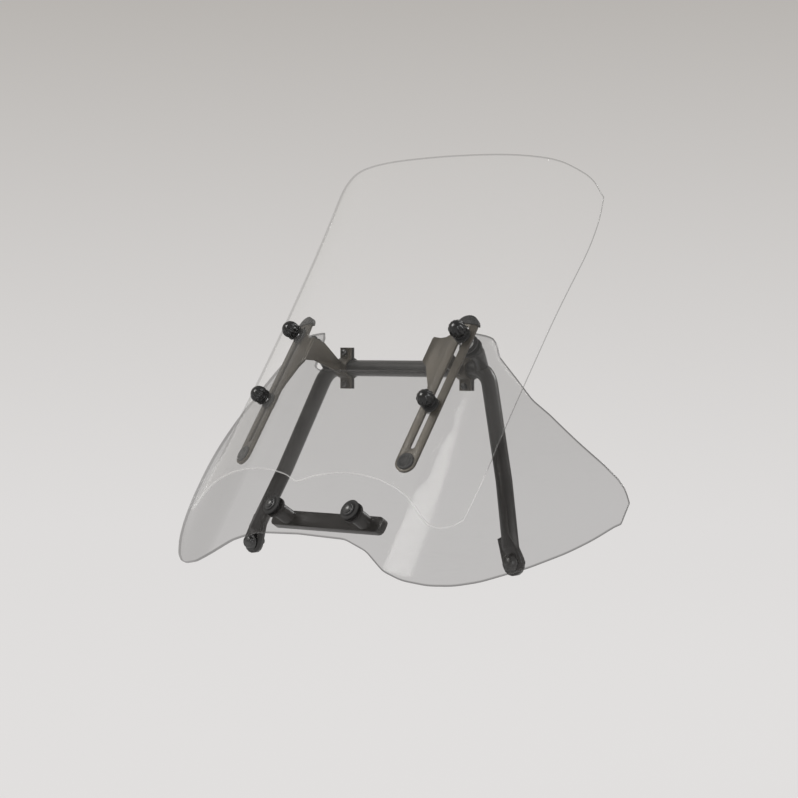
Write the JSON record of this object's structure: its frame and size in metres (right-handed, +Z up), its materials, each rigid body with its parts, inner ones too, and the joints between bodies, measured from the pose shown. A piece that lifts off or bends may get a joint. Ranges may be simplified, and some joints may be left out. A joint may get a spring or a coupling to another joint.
{
  "type": "windshield screen",
  "caption": "Clear touring screen with a rounded top and lobed lower edge, held by knobs in slotted arms on a tubular hoop, over a smoked wing-shaped deflector.",
  "frame": {"origin": "midway between the hoop's two foot plates, on their mounting faces", "axes": "-Y is the way the motorcycle drives, +X is the rider's left, +Z is up"},
  "size_m": [0.662, 0.2546, 0.4474],
  "materials": {
    "clear_polycarbonate": "clear, high gloss",
    "smoked_polycarbonate": "smoked, high gloss",
    "black_plastic": "gloss black",
    "black_rubber": "matt",
    "bronze_grey_paint": "bronze grey, satin powder coat",
    "dark_satin_paint": "dark grey, satin",
    "dark_steel": "blackened, satin",
    "zinc_steel": "bright zinc"
  },
  "bodies": {
    "frame": {"arm_buffer_left": "black_rubber", "arm_buffer_right": "black_rubber", "arm_cap_left": "black_rubber", "arm_cap_right": "black_rubber", "arm_left": "bronze_grey_paint", "arm_right": "bronze_grey_paint", "clamp_back_left": "dark_satin_paint", "clamp_back_right": "dark_satin_paint", "clamp_bolt_lower_left": "dark_steel", "clamp_bolt_lower_right": "dark_steel", "clamp_bolt_upper_left": "dark_steel", "clamp_bolt_upper_right": "dark_steel", "ear_bolt_left": "zinc_steel", "ear_bolt_right": "zinc_steel", "ear_boss_left": "dark_satin_paint", "ear_boss_right": "dark_satin_paint", "ear_grommet_left": "black_rubber", "ear_grommet_right": "black_rubber", "ear_washer_left": "zinc_steel", "ear_washer_right": "zinc_steel", "foot_bolt_left": "dark_steel", "foot_bolt_right": "dark_steel", "hoop": "dark_satin_paint", "low_bolt_left": "dark_steel", "low_bolt_right": "dark_steel", "low_grommet_left": "black_rubber", "low_grommet_right": "black_rubber", "low_washer_left": "dark_steel", "low_washer_right": "dark_steel", "lower_bracket": "dark_satin_paint", "smoked_deflector": "smoked_polycarbonate"},
    "screen": {"clear_screen": "clear_polycarbonate", "knob_stud_lower_left": "zinc_steel", "knob_stud_lower_right": "zinc_steel", "knob_stud_upper_left": "zinc_steel", "knob_stud_upper_right": "zinc_steel", "knob_washer_lower_left": "black_rubber", "knob_washer_lower_right": "black_rubber", "knob_washer_upper_left": "black_rubber", "knob_washer_upper_right": "black_rubber", "screen_bush_lower_left": "black_rubber", "screen_bush_lower_right": "black_rubber", "screen_bush_upper_left": "black_rubber", "screen_bush_upper_right": "black_rubber", "slot_nut_lower_left": "zinc_steel", "slot_nut_lower_right": "zinc_steel", "slot_nut_upper_left": "zinc_steel", "slot_nut_upper_right": "zinc_steel"},
    "knob_upper_left_body": {"knob_upper_left": "black_plastic"},
    "knob_lower_left_body": {"knob_lower_left": "black_plastic"},
    "knob_upper_right_body": {"knob_upper_right": "black_plastic"},
    "knob_lower_right_body": {"knob_lower_right": "black_plastic"}
  },
  "joints": [
    {"name": "screen_slide", "type": "slide", "parent": "frame", "child": "screen", "axis": [0, 0.5446, 0.8387], "range_m": [-0.045, 0.005]},
    {"name": "knob_upper_left_turn", "type": "hinge", "parent": "screen", "child": "knob_upper_left_body", "pos_m": [0.13, -0.012, 0.24], "axis": [0.225, -0.8172, 0.5307], "continuous": true},
    {"name": "knob_lower_left_turn", "type": "hinge", "parent": "screen", "child": "knob_lower_left_body", "pos_m": [0.13, -0.05829, 0.16871], "axis": [0.225, -0.8172, 0.5307], "continuous": true},
    {"name": "knob_upper_right_turn", "type": "hinge", "parent": "screen", "child": "knob_upper_right_body", "pos_m": [-0.13, -0.012, 0.24], "axis": [-0.225, -0.8172, 0.5307], "continuous": true},
    {"name": "knob_lower_right_turn", "type": "hinge", "parent": "screen", "child": "knob_lower_right_body", "pos_m": [-0.13, -0.05829, 0.16871], "axis": [-0.225, -0.8172, 0.5307], "continuous": true}
  ]
}
